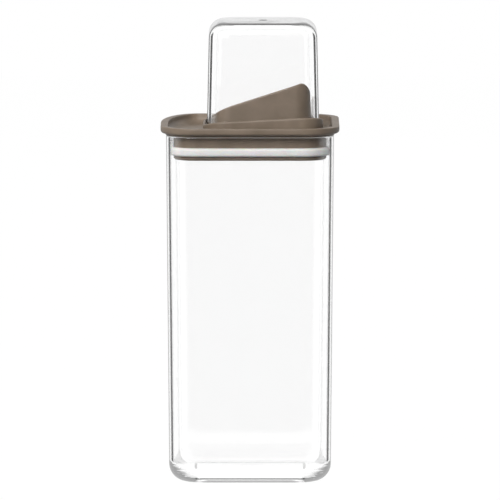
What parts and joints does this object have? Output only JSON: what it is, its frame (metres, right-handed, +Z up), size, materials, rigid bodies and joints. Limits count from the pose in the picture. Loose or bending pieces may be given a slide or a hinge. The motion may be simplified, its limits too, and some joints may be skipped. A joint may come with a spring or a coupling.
{
  "type": "cereal container",
  "caption": "Tall clear square container with a plug-in brown lid, a slanted pouring spout and a clear measuring cup that caps the spout.",
  "frame": {"origin": "bottom centre of the container, on the surface that it stands on", "axes": "+Z up along the container's height, -Y to the front, +X to the right; the pouring corner is at +X, -Y"},
  "size_m": [0.1148, 0.1148, 0.2954],
  "materials": {
    "clear_shell": "clear polished moulded plastic",
    "clear_cup": "clear polished moulded plastic",
    "taupe_lid": "satin moulded plastic, taupe brown",
    "taupe_spout": "satin moulded plastic, taupe brown",
    "taupe_plate": "satin moulded plastic, taupe brown",
    "silicone_gasket": "soft white silicone",
    "silicone_ring": "soft taupe silicone"
  },
  "bodies": {
    "jar": {"container": "clear_shell"},
    "lid": {"lid_frame": "taupe_lid", "spout_insert": "taupe_spout", "cup_seal": "silicone_ring", "lid_seal": "silicone_gasket", "retainer_plate": "taupe_plate"},
    "cup": {"measuring_cup": "clear_cup"}
  },
  "joints": [
    {"name": "lid_lift", "type": "slide", "parent": "jar", "child": "lid", "axis": [0, 0, 1], "range_m": [0, 0.05]},
    {"name": "cup_lift", "type": "slide", "parent": "lid", "child": "cup", "axis": [0, 0, 1], "range_m": [0, 0.06]}
  ]
}
